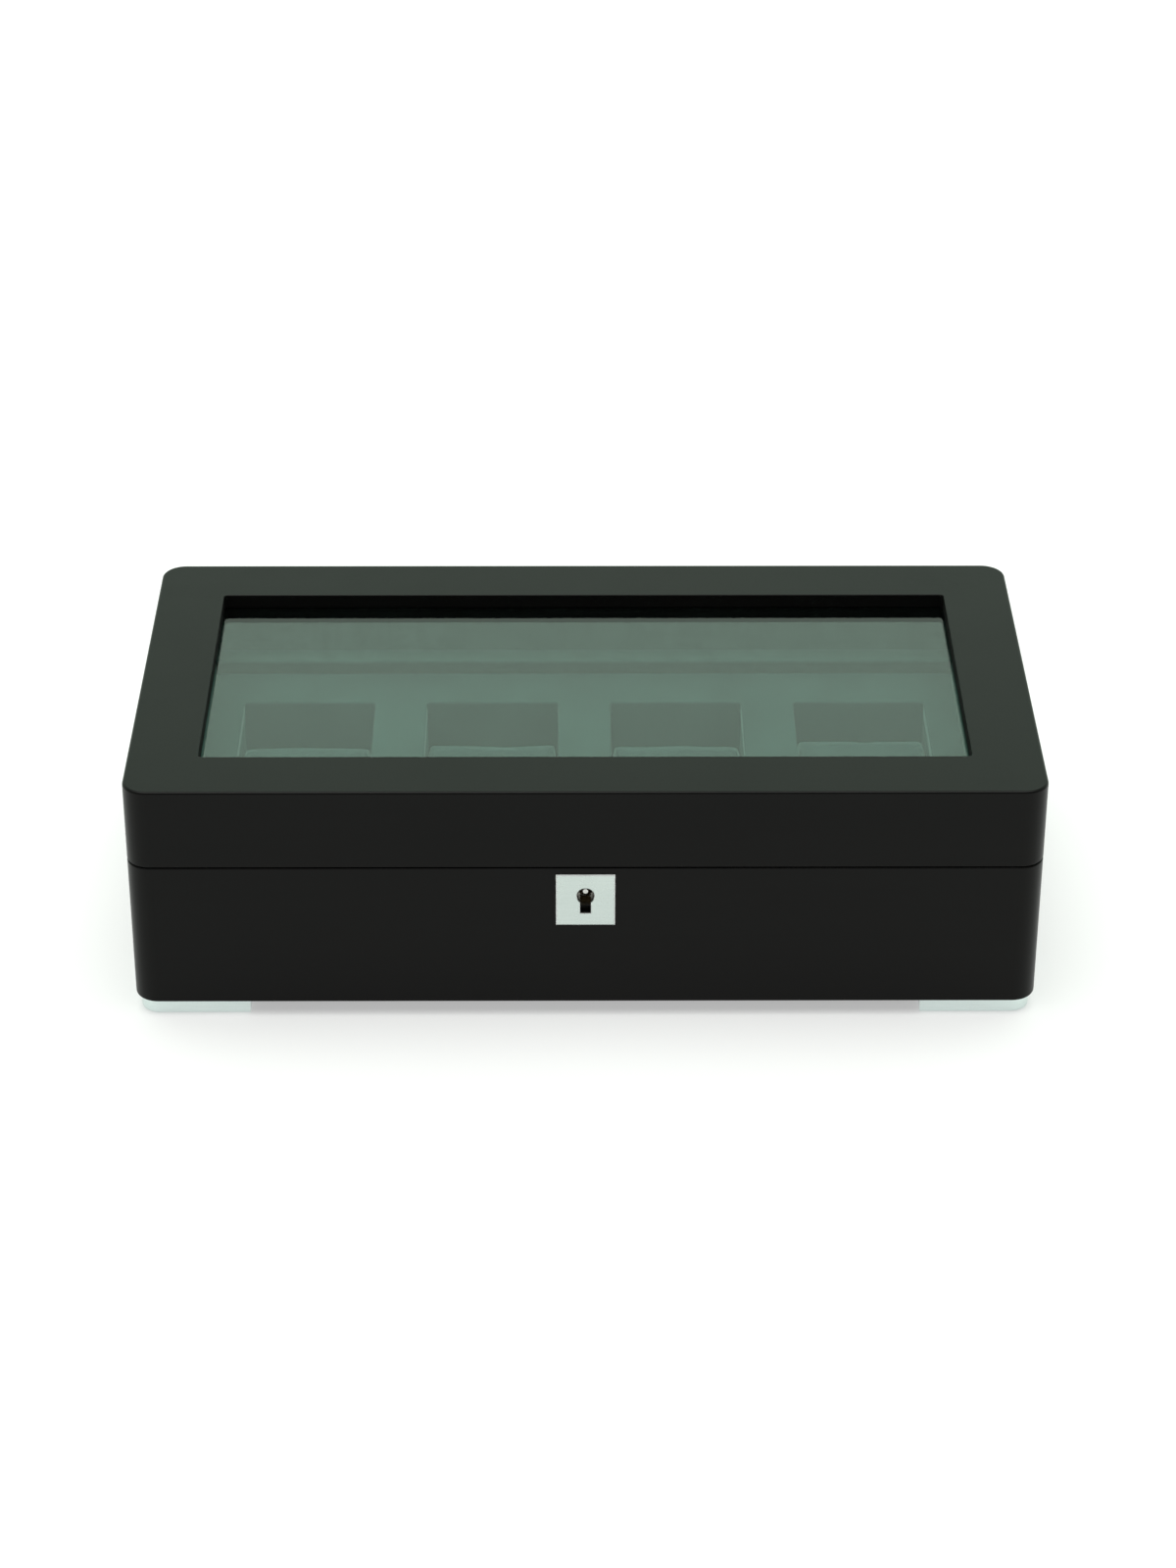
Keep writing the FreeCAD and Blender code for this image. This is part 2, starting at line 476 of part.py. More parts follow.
cap = box(-CASE_LOCK_X, CASE_LOCK_X, LOCK_Y1 - L, LOCK_Y1, CASE_LOCK_Z0, BASE_TOP - L)
cap = cap.cut(cyl(POST_R, 5, V(0, LOCK_Y1 - 2, KEY_Z), V(0, 1, 0)))
parts["lock_cap"] = solid(cap)
post_len = LOCK_Y1 - (-82.2)
post = cyl(POST_R, post_len, V(0, -82.2, KEY_Z), V(0, 1, 0))
post = post.makeChamfer(0.25, [e for e in post.Edges if abs(e.BoundBox.YMax + 82.2) < 1e-6])
parts["lock_post"] = solid(post)

bar_z0, bar_z1 = 45.5, 52.6
bolt = box(-8.5, 18.5, BOLT_Y0, BOLT_Y1, bar_z0, bar_z1)
fz0, fz1 = HOOK_Z0 + TOE_H + 0.7, HOOK_Z0 + TOE_H + 2.9
for hx in HOOK_X:
    toe_end = hx + HOOK_SHANK + HOOK_TOE
    bolt = bolt.fuse(box(toe_end + 4.5, toe_end + 7.5, BOLT_Y0, BOLT_Y1, bar_z1 - 1, fz1))
    bolt = bolt.fuse(box(toe_end + 1.5, toe_end + 7.5, BOLT_Y0, BOLT_Y1, fz0, fz1))
bolt = bolt.cut(box(-POST_R - 0.25, POST_R + 0.25 + BOLT_TRAVEL, BOLT_Y0 - 1, BOLT_Y1 + 1, KEY_Z - POST_R - 0.25, KEY_Z + POST_R + 0.25))
bolt = bolt.cut(prism_y([(-2.6, bar_z0 - 1), (-1.6, 47.9), (2.6, 47.9), (4.6, bar_z0 - 1)], BOLT_Y0 - 1, BOLT_Y1 + 1))
parts["lock_bolt"] = solid(bolt)

# detent spring: a bowed strip under the bolt, seated on the case's floor
sy0, sy1 = BOLT_Y0 + 0.1, BOLT_Y1 - 0.1
outer = [(-15.0, 41.0), (-15.0, 41.5), (-6.0, 44.2), (-2.0, 44.9), (2.0, 44.2), (8.0, 41.6), (8.0, 41.0), (7.4, 41.0), (1.8, 43.65), (-2.0, 44.35), (-5.8, 43.65), (-14.2, 41.0)]
parts["lock_spring"] = prism_y(outer, sy0, sy1)

strike = rr(-FLANGE_X, FLANGE_X, FLANGE_Y0, FLANGE_Y1, 2.0, LID_BOT, LID_BOT + STRIKE_T)
for hx in HOOK_X:
    strike = strike.fuse(box(hx, hx + HOOK_SHANK, HOOK_Y0, HOOK_Y1, HOOK_Z0, LID_BOT + 0.5))
    strike = strike.fuse(box(hx, hx + HOOK_SHANK + HOOK_TOE, HOOK_Y0, HOOK_Y1, HOOK_Z0, HOOK_Z0 + TOE_H))
for x in FLANGE_SCREW_X:
    strike = strike.cut(screw(V(x, FLANGE_SCREW_Y, LID_BOT), V(0, 0, 1), 11.0, grow=0.05))
parts["strike_plate"] = solid(strike)
parts["strike_screws"] = compound([screw(V(x, FLANGE_SCREW_Y, LID_BOT), V(0, 0, 1), 10.0) for x in FLANGE_SCREW_X])

# ---------------------------------------------------------------- write
os.makedirs("parts", exist_ok=True)
for old in os.listdir("parts"):
    if old.endswith(".step") and old[:-5] not in parts:
        os.remove(os.path.join("parts", old))
for name, shape in parts.items():
    ok = shape.isValid() and all(s.isValid() and s.Volume > 0 for s in shape.Solids)
    if not ok or not shape.Solids:
        print("PROBLEM", name, shape.isValid(), len(shape.Solids))
    shape.exportStep(os.path.join("parts", name + ".step"))
print(len(parts), "nodes,", sum(len(s.Solids) for s in parts.values()), "solids")
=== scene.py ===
import json
import math

import bpy
import bmesh
from mathutils import Matrix, Vector, noise


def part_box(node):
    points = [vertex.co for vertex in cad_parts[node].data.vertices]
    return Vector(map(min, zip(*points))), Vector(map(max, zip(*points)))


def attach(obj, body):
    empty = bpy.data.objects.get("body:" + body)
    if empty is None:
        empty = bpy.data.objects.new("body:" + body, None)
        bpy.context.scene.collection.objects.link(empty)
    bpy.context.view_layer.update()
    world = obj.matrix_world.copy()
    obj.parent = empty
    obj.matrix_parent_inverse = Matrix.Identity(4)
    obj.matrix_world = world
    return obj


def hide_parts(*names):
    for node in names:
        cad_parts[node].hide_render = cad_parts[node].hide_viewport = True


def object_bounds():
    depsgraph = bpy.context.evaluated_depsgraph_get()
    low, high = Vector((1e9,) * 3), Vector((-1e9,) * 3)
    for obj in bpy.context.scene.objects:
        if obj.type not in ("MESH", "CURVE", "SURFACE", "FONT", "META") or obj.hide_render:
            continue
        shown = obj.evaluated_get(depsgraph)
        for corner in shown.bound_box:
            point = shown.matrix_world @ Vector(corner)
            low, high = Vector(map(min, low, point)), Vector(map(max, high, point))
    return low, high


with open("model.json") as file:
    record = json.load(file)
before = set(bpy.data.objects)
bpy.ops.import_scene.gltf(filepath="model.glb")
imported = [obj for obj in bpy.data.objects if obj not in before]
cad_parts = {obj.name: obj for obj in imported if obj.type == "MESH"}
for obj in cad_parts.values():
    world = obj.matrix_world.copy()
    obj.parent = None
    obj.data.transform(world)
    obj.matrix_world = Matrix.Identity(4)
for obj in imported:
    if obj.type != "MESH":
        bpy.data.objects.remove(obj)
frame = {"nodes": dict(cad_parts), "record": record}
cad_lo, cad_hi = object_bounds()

scene = bpy.context.scene
nodes = frame["nodes"]


# ------------------------------------------------------------------ node helpers
class Mat:
    """A material with one Principled shader, and short calls for the textures that drive it."""

    def __init__(self, name):
        self.m = bpy.data.materials.new(name)
        self.m.use_nodes = True
        self.nt = self.m.node_tree
        self.nt.nodes.clear()
        self.out = self.nt.nodes.new("ShaderNodeOutputMaterial")
        self.b = self.nt.nodes.new("ShaderNodeBsdfPrincipled")
        self.nt.links.new(self.b.outputs[0], self.out.inputs[0])
        self.tc = self.nt.nodes.new("ShaderNodeTexCoord")
        self.co = self.tc.outputs["Object"]

    def set(self, **kw):
        for k, v in kw.items():
            self.b.inputs[k.replace("_", " ")].default_value = v

    def link(self, a, b):
        self.nt.links.new(a, b)

    def scaled(self, s, rot=(0, 0, 0)):
        n = self.nt.nodes.new("ShaderNodeMapping")
        n.inputs["Scale"].default_value = s
        n.inputs["Rotation"].default_value = rot
        self.link(self.co, n.inputs["Vector"])
        return n.outputs[0]

    def noise(self, scale, detail=2.0, rough=0.5, vec=None, distort=0.0):
        n = self.nt.nodes.new("ShaderNodeTexNoise")
        n.inputs["Scale"].default_value = scale
        n.inputs["Detail"].default_value = detail
        n.inputs["Roughness"].default_value = rough
        n.inputs["Distortion"].default_value = distort
        self.link(vec if vec is not None else self.co, n.inputs["Vector"])
        return n.outputs[0]

    def voronoi(self, scale, vec=None, feature="F1", out=0):
        n = self.nt.nodes.new("ShaderNodeTexVoronoi")
        n.feature = feature
        n.inputs["Scale"].default_value = scale
        self.link(vec if vec is not None else self.co, n.inputs["Vector"])
        return n.outputs[out]

    def ramp(self, fac, stops, interp="LINEAR"):
        n = self.nt.nodes.new("ShaderNodeValToRGB")
        n.color_ramp.interpolation = interp
        e = n.color_ramp.elements
        while len(e) < len(stops):
            e.new(0.5)
        for el, (p, c) in zip(e, stops):
            el.position = p
            el.color = (*c, 1.0) if hasattr(c, "__len__") else (c, c, c, 1.0)
        self.link(fac, n.inputs[0])
        return n.outputs[0]

    def math(self, op, a, b=0.0, clamp=False):
        n = self.nt.nodes.new("ShaderNodeMath")
        n.operation = op
        n.use_clamp = clamp
        for i, v in enumerate((a, b)):
            if hasattr(v, "links") or hasattr(v, "is_linked"):
                self.link(v, n.inputs[i])
            else:
                n.inputs[i].default_value = v
        return n.outputs[0]

    def mix(self, fac, a, b, kind="MIX"):
        n = self.nt.nodes.new("ShaderNodeMix")
        n.data_type = "RGBA"
        n.blend_type = kind
        for i, v in ((0, fac), (6, a), (7, b)):
            if hasattr(v, "is_linked"):
                self.link(v, n.inputs[i])
            elif i == 0:
                n.inputs[i].default_value = v
            else:
                n.inputs[i].default_value = (*v, 1.0)
        return n.outputs[2]

    def bump(self, height, strength, distance, normal=None):
        n = self.nt.nodes.new("ShaderNodeBump")
        n.inputs["Strength"].default_value = strength
        n.inputs["Distance"].default_value = distance
        self.link(height, n.inputs["Height"])
        if normal is not None:
            self.link(normal, n.inputs["Normal"])
        return n.outputs[0]

    def parts(self):
        """The three object coordinates, one by one."""
        n = self.nt.nodes.new("ShaderNodeSeparateXYZ")
        self.link(self.co, n.inputs[0])
        return n.outputs[0], n.outputs[1], n.outputs[2]

    def facing(self, axis):
        """One part of the surface's own normal, in the object's axes."""
        n = self.nt.nodes.new("ShaderNodeSeparateXYZ")
        self.link(self.tc.outputs["Normal"], n.inputs[0])
        return n.outputs[axis]

    def color(self, s):
        self.link(s, self.b.inputs["Base Color"])

    def rough(self, s):
        self.link(s, self.b.inputs["Roughness"])

    def normal(self, s):
        self.link(s, self.b.inputs["Normal"])


def rgb(r, g, b):
    """sRGB 0-255 to linear."""
    return tuple((c / 255 / 12.92) if c / 255 <= 0.04045 else ((c / 255 + 0.055) / 1.055) ** 2.4 for c in (r, g, b))


# ------------------------------------------------------------------ materials
def lacquer():
    """Satin near-black lacquer: a sprayed film with a faint orange peel, the wood's long grain just telegraphing through it."""
    a = Mat("black_lacquer_satin")
    cloud = a.noise(9.0, 3.0, 0.55)
    grain_v = a.scaled((5.0, 150.0, 150.0))
    grain = a.noise(1.0, 4.0, 0.6, grain_v, 0.3)
    fine_v = a.scaled((30.0, 1100.0, 1100.0))
    pores = a.noise(1.0, 2.0, 0.5, fine_v)
    c1 = a.ramp(cloud, [(0.25, (0.0013, 0.0012, 0.0010)), (0.75, (0.0021, 0.0018, 0.0015))])
    c2 = a.ramp(grain, [(0.35, (0.90, 0.90, 0.90)), (0.65, (1.08, 1.08, 1.08))])
    a.color(a.mix(1.0, c1, c2, "MULTIPLY"))
    peel = a.noise(420.0, 2.0, 0.5)
    handled = a.noise(26.0, 5.0, 0.62)
    r = a.ramp(handled, [(0.30, 0.315), (0.52, 0.34), (0.75, 0.375)])
    dust = a.ramp(a.noise(2100.0, 0.0, 0.5), [(0.60, 0.0), (0.78, 0.06)])
    r = a.math("ADD", r, dust)
    # the film is thin and dull on the upright walls round the pane, where sanding doesn't reach
    x, y, z = a.parts()
    glass_lo, glass_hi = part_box("lid_glass")
    inside = a.math("MULTIPLY", a.math("LESS_THAN", a.math("ABSOLUTE", x), glass_hi.x - 0.0033), a.math("LESS_THAN", a.math("ABSOLUTE", y), glass_hi.y - 0.0033))
    wall = a.math("MULTIPLY", inside, a.math("LESS_THAN", z, cad_hi.z - 0.0004))
    a.rough(a.math("ADD", r, a.math("MULTIPLY", wall, 0.45), clamp=True))
    n = a.bump(grain, 0.10, 0.00006)
    n = a.bump(pores, 0.07, 0.00002, n)
    n = a.bump(peel, 0.10, 0.00002, n)
    a.normal(n)
    a.set(IOR=1.225, Metallic=0.0)
    return a.m


def suede(name, dark, light, sheen=(0.62, 0.80, 0.75), nap=1.0, seed=0.0, upright_painted_shade=1.0, side=1.0, weight=0.35):
    """Microsuede: short nap that lies in brushed patches, with a matt fibre grain. Vertical faces can be given a darker
    colour as painted shade, and faces turned along x likewise.
    """
    a = Mat(name)
    base = a.scaled((1, 1, 1), (0.3 + seed, 0.2, 0.5 + seed))
    patches = a.noise(34.0 * nap, 3.0, 0.55, base, 0.6)
    strokes_v = a.scaled((60.0, 16.0, 16.0), (0.0, 0.0, 0.5 + seed))
    strokes = a.noise(1.0, 3.0, 0.6, strokes_v, 0.8)
    fibre = a.noise(1500.0, 3.0, 0.7, base)
    tufts = a.noise(420.0, 2.0, 0.6, base)
    mid = tuple((x + y) / 2 for x, y in zip(dark, light))
    c = a.ramp(patches, [(0.30, dark), (0.50, mid), (0.70, light)])
    s = a.ramp(strokes, [(0.35, 0.88), (0.65, 1.10)])
    f = a.ramp(fibre, [(0.30, 0.84), (0.70, 1.14)])
    t = a.ramp(tufts, [(0.30, 0.90), (0.70, 1.08)])
    c = a.mix(1.0, c, s, "MULTIPLY")
    c = a.mix(1.0, c, f, "MULTIPLY")
    c = a.mix(1.0, c, t, "MULTIPLY")
    # painted shade: faces that stand vertical get a darker colour, by how steep their normal is
    if upright_painted_shade != 1.0:
        flat = a.math("ABSOLUTE", a.facing(2))
        c = a.mix(1.0, c, a.ramp(flat, [(0.15, upright_painted_shade), (0.85, 1.0)]), "MULTIPLY")
    # painted shade: faces turned along x get a darker colour
    if side != 1.0:
        across_painted_shade = a.math("ABSOLUTE", a.facing(0))
        c = a.mix(1.0, c, a.ramp(across_painted_shade, [(0.40, 1.0), (0.85, side)]), "MULTIPLY")
    a.color(c)
    a.rough(a.ramp(patches, [(0.3, 0.92), (0.7, 0.84)]))
    n = a.bump(strokes, 0.08, 0.0005)
    n = a.bump(tufts, 0.09, 0.00015, n)
    n = a.bump(fibre, 0.16, 0.00006, n)
    a.normal(n)
    a.b.inputs["Sheen Weight"].default_value = weight
    a.b.inputs["Sheen Roughness"].default_value = 0.42
    a.b.inputs["Sheen Tint"].default_value = (*sheen, 1.0)
    a.b.inputs["Specular IOR Level"].default_value = 0.15
    return a.m


def flock(name):
    """Short black flock on the bottom board."""
    a = Mat(name)
    fibre = a.noise(1900.0, 3.0, 0.7)
    mottled = a.noise(60.0, 3.0, 0.6)
    c = a.ramp(mottled, [(0.3, (0.010, 0.0105, 0.010)), (0.7, (0.019, 0.020, 0.019))])
    f = a.ramp(fibre, [(0.3, 0.6), (0.7, 1.5)])
    a.color(a.mix(1.0, c, f, "MULTIPLY"))
    a.rough(a.ramp(mottled, [(0.3, 0.97), (0.7, 0.88)]))
    a.normal(a.bump(fibre, 0.6, 0.00016))
    a.b.inputs["Sheen Weight"].default_value = 0.25
    a.b.inputs["Sheen Roughness"].default_value = 0.5
    a.b.inputs["Specular IOR Level"].default_value = 0.1
    return a.m


def metal(name, color, rough_lo, rough_hi, lines=None, tarnish=0.0, tint=None, line_bump=0.10, bevel_painted_highlight=None):
    """Plated or turned metal: fine finishing lines, faint smears, a little tarnish in patches, and on the plate a
    painted highlight: its bevelled edges get a bright colour and a little more roughness, the one turned up a darker
    colour as painted shade.
    """
    a = Mat(name)
    smear = a.noise(160.0, 4.0, 0.6)
    broad = a.noise(45.0, 3.0, 0.55)
    scratch_v = a.scaled(lines or (900.0, 900.0, 900.0))
    scratch = a.noise(1.0, 3.0, 0.65, scratch_v)
    other = tint or tuple(v * 0.9 for v in color)
    c = a.ramp(broad, [(0.30, color), (0.70, tuple(color[i] * (1 - tarnish) + other[i] * tarnish for i in range(3)))])
    f = a.ramp(scratch, [(0.3, 0.96), (0.7, 1.03)])
    c = a.mix(1.0, c, f, "MULTIPLY")
    r1 = a.ramp(smear, [(0.30, rough_lo), (0.70, rough_hi)])
    r2 = a.ramp(scratch, [(0.3, 0.0), (0.7, 0.05)])
    r = a.math("ADD", r1, r2)
    if bevel_painted_highlight:
        # painted highlight: edges not turned to the front get a bright colour; the edge turned up is darkened to a
        # third as painted shade so it does not burn out under the top light
        bevel_highlight_mask = a.ramp(a.math("MULTIPLY", a.facing(1), -1.0), [(0.80, 1.0), (0.93, 0.0)])
        edge = a.ramp(a.facing(2), [(0.10, bevel_painted_highlight), (0.45, tuple(v * 0.34 for v in bevel_painted_highlight))])
        c = a.mix(bevel_highlight_mask, c, edge)
        r = a.math("ADD", r, a.math("MULTIPLY", bevel_highlight_mask, 0.12), clamp=True)
    a.color(c)
    a.rough(r)
    a.normal(a.bump(scratch, line_bump, 0.00002))
    a.set(Metallic=1.0)
    return a.m


def clear_glass():
    """Clear float glass, a little green. Lamps reach what is behind it."""
    a = Mat("clear_float_glass")
    a.set(IOR=1.36, Roughness=0.0, Base_Color=(0.78, 0.970, 0.92, 1.0))
    a.b.inputs["Transmission Weight"].default_value = 1.0
    nt = a.nt
    path = nt.nodes.new("ShaderNodeLightPath")
    clear = nt.nodes.new("ShaderNodeBsdfTransparent")
    clear.inputs[0].default_value = (0.88, 0.97, 0.93, 1.0)
    either = a.math("MAXIMUM", path.outputs["Is Shadow Ray"], path.outputs["Is Diffuse Ray"])
    mix = nt.nodes.new("ShaderNodeMixShader")
    a.link(either, mix.inputs[0])
    a.link(a.b.outputs[0], mix.inputs[1])
    a.link(clear.outputs[0], mix.inputs[2])
    a.link(mix.outputs[0], a.out.inputs[0])
    return a.m


M_LACQUER = lacquer()
SUEDE_DARK, SUEDE_LIGHT = (0.030, 0.050, 0.046), (0.047, 0.076, 0.070)
# painted shade: lining faces turned along x get a darker colour (0.35)
M_LINING = suede("lining_microsuede", (0.0200, 0.0325, 0.031), (0.0315, 0.050, 0.047), side=0.35)
# painted shade: a darker copy of the lining suede, with little sheen, for the pockets' side walls
M_POCKET_SIDE = suede("pocket_side_microsuede", (0.0150, 0.024, 0.023), (0.0230, 0.036, 0.034), seed=2.3, weight=0.06)
# painted shade: the lip's vertical faces are darkened to 0.15 of its colour
M_LIP = suede("lip_microsuede", SUEDE_DARK, SUEDE_LIGHT, seed=0.4, upright_painted_shade=0.15)
# painted light: the lid lining is a lighter copy of the same suede
M_LID_LINING = suede("lid_lining_microsuede", (0.050, 0.084, 0.078), (0.076, 0.122, 0.113), seed=1.7)
M_CUSHION = suede("cushion_microsuede", (0.0195, 0.032, 0.031), (0.0305, 0.047, 0.045), nap=1.4, seed=0.9)
M_FLOCK = flock("bottom_flock")
# painted highlight: the plate's bevelled edges are given the bright colour (0.93, 0.96, 0.94)
M_PLATE = metal("nickel_plate_satin", (0.565, 0.625, 0.600), 0.20, 0.27, (60.0, 2600.0, 2600.0), 0.5, (0.535, 0.600, 0.580), bevel_painted_highlight=(0.93, 0.96, 0.94))
M_FOOT = metal("nickel_foot_polished", (0.70, 0.79, 0.77), 0.12, 0.20, (70.0, 70.0, 2400.0), 0.5, (0.67, 0.76, 0.74))
M_HINGE = metal("nickel_hinge", (0.72, 0.70, 0.66), 0.27, 0.36, (60.0, 2600.0, 2600.0), 0.5, (0.64, 0.59, 0.50), 0.03)
M_LOCK = metal("nickel_lock_sheet", (0.62, 0.61, 0.58), 0.26, 0.40, (50.0, 1500.0, 1500.0), 0.8, (0.50, 0.47, 0.40))
# painted shade: the lock cap, seen only through the keyhole, gets a dark brass colour for the shade inside the lock
M_CAP = metal("dark_brass_painted_shade", (0.20, 0.14, 0.075), 0.30, 0.42, (80.0, 1600.0, 1600.0), 0.7, (0.13, 0.09, 0.05))
M_BRASS = metal("brass_bolt", (0.76, 0.56, 0.26), 0.24, 0.36, (80.0, 1600.0, 1600.0), 0.7, (0.52, 0.36, 0.16))
M_STEEL = metal("turned_steel", (0.66, 0.66, 0.64), 0.20, 0.32, (1700.0, 60.0, 1700.0), 0.5, (0.50, 0.48, 0.45))
M_SCREW = metal("zinc_screw", (0.60, 0.60, 0.58), 0.24, 0.38, (1300.0, 1300.0, 400.0), 0.6, (0.46, 0.45, 0.42))
M_GLASS = clear_glass()

BY_SLOT = {
    "black_lacquer": M_LACQUER, "panel_felt": M_FLOCK, "polished_metal": M_FOOT, "cushion_suede": M_CUSHION,
    "lining_suede": M_LINING, "clear_glass": M_GLASS, "nickel_hinge": M_HINGE, "lock_nickel": M_LOCK,
    "lock_brass": M_BRASS, "lock_steel": M_STEEL, "screw_steel": M_SCREW,
}
slot_of = {s["node"]: s["material_slot"] for s in frame["record"]["subparts"]}
for name, o in nodes.items():
    mat = BY_SLOT[slot_of[name]]
    if name == "keyhole_plate":
        mat = M_PLATE
    # the pockets' side walls get the darker painted-shade copy of the suede
    elif name == "pocket_side_walls":
        mat = M_POCKET_SIDE
    # the lock cap gets the dark painted-shade brass
    elif name == "lock_cap":
        mat = M_CAP
    elif name.startswith("base_liner"):
        mat = M_LIP
    # the lid liners get the lighter painted-light copy of the suede
    elif name.startswith("lid_liner"):
        mat = M_LID_LINING
    if not o.material_slots:
        o.data.materials.append(mat)
    for s in o.material_slots:
        s.material = mat


# ------------------------------------------------------------------ watch cushions
def link(obj):
    scene.collection.objects.link(obj)
    return obj


def superellipse(a, c, p, n):
    """n points round a superellipse, evenly spaced along its length."""
    dense = []
    k = 1440
    for i in range(k):
        t = 2 * math.pi * i / k
        cy, sz = math.cos(t), math.sin(t)
        r = (abs(cy) ** p + abs(sz) ** p) ** (-1 / p)
        dense.append((a * r * cy, c * r * sz))
    length = [0.0]
    for i in range(k):
        q0, q1 = dense[i], dense[(i + 1) % k]
        length.append(length[-1] + math.hypot(q1[0] - q0[0], q1[1] - q0[1]))
    out, j = [], 0
    for i in range(n):
        want = length[-1] * i / n
        while length[j + 1] < want:
            j += 1
        f = (want - length[j]) / max(length[j + 1] - length[j], 1e-12)
        q0, q1 = dense[j % k], dense[(j + 1) % k]
        out.append((q0[0] + (q1[0] - q0[0]) * f, q0[1] + (q1[1] - q0[1]) * f))
    return out


def cushion(index, name, lo, hi, seed):
    """One foam roll in a sewn suede cover: a band round it and an end panel each side, joined by an inside seam."""
    c = (lo + hi) / 2
    hx, hy, hz = (hi.x - lo.x) / 2, (hi.y - lo.y) / 2, (hi.z - lo.z) / 2
    seam_x = hx - 0.0007
    n_loop, n_len, n_cap = 88, 30, 9
    ring = superellipse(hy - 0.0009, hz - 0.0007, 3.0, n_loop)
    bm = bmesh.new()
    loops = []
    seam_verts, groups = [], []

    def loop_at(x, shrink, bulge=0.0):
        vs = []
        for k, (y, z) in enumerate(ring):
            r = math.hypot(y, z)
            f = (r - shrink) / r
            vs.append(bm.verts.new((x, y * f, z * f)))
        return vs

    # band, with its seams turned in
    xs = [-seam_x + 2 * seam_x * (0.5 - 0.5 * math.cos(math.pi * i / n_len)) * 0.5 + 2 * seam_x * (i / n_len) * 0.5 for i in range(n_len + 1)]
    for i, x in enumerate(xs):
        d = min(x + seam_x, seam_x - x)
        shrink = 0.0010 * math.exp(-d / 0.0007)
        loops.append(loop_at(x, shrink))
    for i in range(n_len):
        for k in range(n_loop):
            k2 = (k + 1) % n_loop
            bm.faces.new((loops[i][k], loops[i][k2], loops[i + 1][k2], loops[i + 1][k]))
    # end panels
    for side, edge in ((-1, loops[0]), (1, loops[-1])):
        prev = edge
        for j in range(1, n_cap + 1):
            f = j / n_cap
            shrink_f = 1 - f * 0.93
            dome = 0.0005 * (1 - (1 - f) ** 2.4)
            vs = []
            for k, v in enumerate(edge):
                vs.append(bm.verts.new((side * (seam_x + dome), v.co.y * shrink_f, v.co.z * shrink_f)))
            for k in range(n_loop):
                k2 = (k + 1) % n_loop
                quad = (prev[k], vs[k], vs[k2], prev[k2])
                bm.faces.new(quad if side < 0 else tuple(reversed(quad)))
            prev = vs
        centre = bm.verts.new((side * (seam_x + 0.0005), 0, 0))
        for k in range(n_loop):
            k2 = (k + 1) % n_loop
            tri = (prev[k], centre, prev[k2])
            bm.faces.new(tri if side < 0 else tuple(reversed(tri)))
    bm.normal_update()
    bmesh.ops.recalc_face_normals(bm, faces=bm.faces)
    mesh = bpy.data.meshes.new(name)
    bm.to_mesh(mesh)
    n_band = (n_len + 1) * n_loop
    bm.free()
    obj = link(bpy.data.objects.new(name, mesh))
    obj.location = (0, 0, 0)

    # hand-made unevenness before the cover is filled
    for v in mesh.vertices:
        q = Vector((v.co.x, v.co.y, v.co.z)) * 55 + Vector((seed * 7.1, seed * 3.3, 0))
        v.co += v.co.normalized() * 0.00035 * noise.noise(q)

    start = [v.co.copy() for v in mesh.vertices]
    pin = obj.vertex_groups.new(name="pin")
    pinned = list(range(0, n_loop)) + list(range(n_len * n_loop, n_band))
    pin.add(pinned, 1.0, "REPLACE")
    low = [v.index for v in mesh.vertices if v.co.z < -hz * 0.93]
    pin.add(low, 0.9, "REPLACE")
    cloth = obj.modifiers.new("Cloth", "CLOTH")
    s = cloth.settings
    s.quality = 8
    s.mass = 0.15
    s.tension_stiffness = 8
    s.compression_stiffness = 8
    s.shear_stiffness = 3
    s.bending_stiffness = 0.3
    s.tension_damping = s.compression_damping = 12
    s.use_pressure = True
    s.uniform_pressure_force = 4.0
    s.effector_weights.gravity = 0
    s.vertex_group_mass = "pin"
    s.pin_stiffness = 6
    s.shrink_min = -0.03
    cloth.point_cache.frame_start = 1
    cloth.point_cache.frame_end = 20
    scene.frame_start, scene.frame_end = 1, 20
    for f in range(1, 21):
        scene.frame_set(f)
    dg = bpy.context.evaluated_depsgraph_get()
    ev = obj.evaluated_get(dg)
    after = [v.co.copy() for v in ev.data.vertices]
    obj.modifiers.remove(cloth)
    scene.frame_set(1)
    cap = 0.0016
    for v, a, b in zip(mesh.vertices, start, after):
        d = b - a
        if d.length > cap:
            d = d.normalized() * cap
        v.co = a + d
    obj.vertex_groups.clear()

    # puckers along the two seams, deepest at the seam, and a slack line where the foam's edge shows through
    for v in mesh.vertices:
        x, y, z = v.co
        d = abs(abs(x) - seam_x)
        ang = math.atan2(z / hz, y / hy)
        r = Vector((0, y, z))
        if r.length > 1e-5 and abs(x) <= seam_x + 0.0004:
            u = r.normalized()
            arc = ang * 0.024 * 3.2
            p = noise.noise(Vector((arc * 190, seed * 11.0 + (3 if x > 0 else 0), x * 60)))
            w = math.exp(-d / 0.0030)
            v.co += u * (0.00026 * p * w)
            q = noise.noise(Vector((arc * 60, seed * 5.0, x * 45)))
            v.co += u * (0.00022 * q * (1 - w))
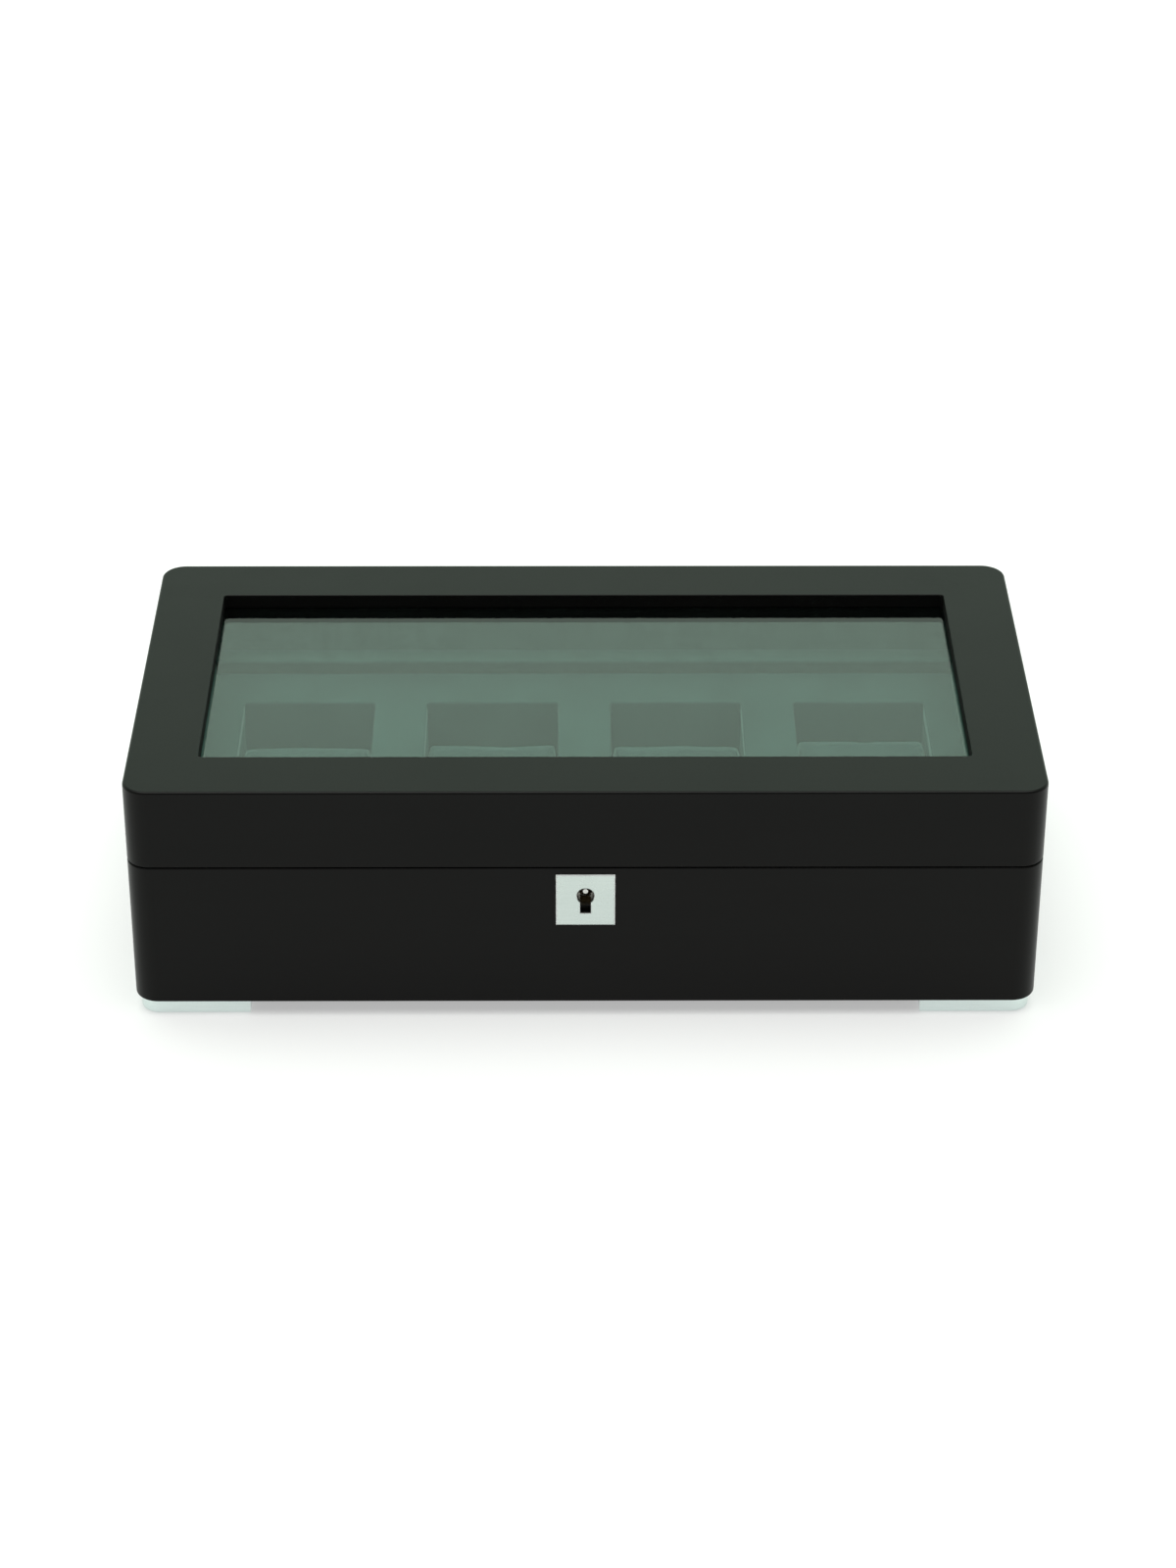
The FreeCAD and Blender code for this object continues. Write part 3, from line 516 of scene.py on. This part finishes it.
    # keep inside the CAD solid
    pad = 0.00012
    for v in mesh.vertices:
        v.co.x = max(-hx + pad, min(hx - pad, v.co.x))
        v.co.y = max(-hy + pad, min(hy - pad, v.co.y))
        v.co.z = max(-hz + pad, min(hz - pad, v.co.z))
    sub = obj.modifiers.new("Sub", "SUBSURF")
    sub.levels = sub.render_levels = 1
    dg = bpy.context.evaluated_depsgraph_get()
    fine = bpy.data.meshes.new_from_object(obj.evaluated_get(dg))
    obj.modifiers.clear()
    obj.data = fine
    fine.name = name
    fine.transform(Matrix.Translation(c))
    fine.polygons.foreach_set("use_smooth", [True] * len(fine.polygons))
    fine.materials.clear()
    fine.materials.append(M_CUSHION)
    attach(obj, "cushion_%d" % index)
    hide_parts("watch_cushion_%d" % index)
    return obj


for i in range(1, 5):
    lo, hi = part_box("watch_cushion_%d" % i)
    cushion(i, "watch_cushion_%d_cover" % i, lo, hi, float(i))


# ------------------------------------------------------------------ stage
def stage_floor():
    me = bpy.data.meshes.new("floor")
    s = 7.0
    me.from_pydata([(-s, -s, 0), (s, -s, 0), (s, s, 0), (-s, s, 0)], [], [(0, 1, 2, 3)])
    o = link(bpy.data.objects.new("floor", me))
    o.location.z = cad_lo.z - 0.0003
    a = Mat("floor_white")
    tone = a.noise(3.0, 2.0, 0.5)
    a.color(a.ramp(tone, [(0.3, (0.545, 0.540, 0.540)), (0.7, (0.560, 0.555, 0.555))]))
    a.set(Roughness=0.75)
    a.b.inputs["Specular IOR Level"].default_value = 0.2
    a.b.inputs["Emission Color"].default_value = (1.0, 1.0, 1.0, 1.0)
    a.b.inputs["Emission Strength"].default_value = 0.42
    me.materials.append(a.m)


stage_floor()

world = bpy.data.worlds.new("studio")
scene.world = world
world.use_nodes = True
wt = world.node_tree
wt.nodes.clear()
w_out = wt.nodes.new("ShaderNodeOutputWorld")
w_bg = wt.nodes.new("ShaderNodeBackground")
w_co = wt.nodes.new("ShaderNodeTexCoord")
w_sep = wt.nodes.new("ShaderNodeSeparateXYZ")
w_ramp = wt.nodes.new("ShaderNodeValToRGB")
w_map = wt.nodes.new("ShaderNodeMapRange")
wt.links.new(w_co.outputs["Generated"], w_sep.inputs[0])
wt.links.new(w_sep.outputs["Y"], w_map.inputs["Value"])
w_map.inputs["From Min"].default_value = -1.0
w_map.inputs["From Max"].default_value = 1.0
els = w_ramp.color_ramp.elements
els[0].position, els[0].color = 0.30, (0.34, 0.36, 0.35, 1)
els[1].position, els[1].color = 0.80, (1.01, 1.24, 1.05, 1)
wt.links.new(w_map.outputs[0], w_ramp.inputs[0])
w_path = wt.nodes.new("ShaderNodeLightPath")
w_seen = wt.nodes.new("ShaderNodeMix")
w_seen.data_type = "RGBA"
wt.links.new(w_path.outputs["Is Camera Ray"], w_seen.inputs[0])
wt.links.new(w_ramp.outputs[0], w_seen.inputs[6])
w_seen.inputs[7].default_value = (0.93, 0.94, 0.93, 1)
wt.links.new(w_seen.outputs[2], w_bg.inputs["Color"])
w_bg.inputs["Strength"].default_value = 1.0
wt.links.new(w_bg.outputs[0], w_out.inputs[0])


def sun(name, strength, angle, direction, color=(1, 1, 1)):
    d = bpy.data.lights.new(name, "SUN")
    d.energy = strength
    d.angle = math.radians(angle)
    d.color = color
    o = link(bpy.data.objects.new(name, d))
    o.rotation_mode = "QUATERNION"
    o.rotation_quaternion = Vector(direction).to_track_quat("-Z", "Y")
    return o


sun("soft_top", 2.2, 60, (0.05, 0.10, -1.0), (1.0, 1.0, 0.985))

# ------------------------------------------------------------------ camera
pitch, yaw, roll = 0.534287, 0.0059706, -0.0018288
f_ = Vector((math.sin(yaw) * math.cos(pitch), math.cos(yaw) * math.cos(pitch), -math.sin(pitch)))
r_ = Vector((math.cos(yaw), -math.sin(yaw), 0.0))
d_ = f_.cross(r_)
right = r_ * math.cos(roll) + d_ * math.sin(roll)
down = d_ * math.cos(roll) - r_ * math.sin(roll)
cam_data = bpy.data.cameras.new("camera")
cam_data.sensor_width = 36.0
cam_data.lens = 36.0 * 3852.58 / 1600.0
cam = link(bpy.data.objects.new("camera", cam_data))
m = Matrix((
    (right.x, -down.x, -f_.x, -0.0058647),
    (right.y, -down.y, -f_.y, -1.1989667),
    (right.z, -down.z, -f_.z, 0.7545024),
    (0, 0, 0, 1),
))
cam.matrix_world = m
scene.camera = cam

scene.view_settings.view_transform = "Standard"
scene.view_settings.look = "None"
scene.view_settings.exposure = 0.0
scene.view_settings.gamma = 1.0
scene.cycles.max_bounces = 12
scene.cycles.transparent_max_bounces = 12
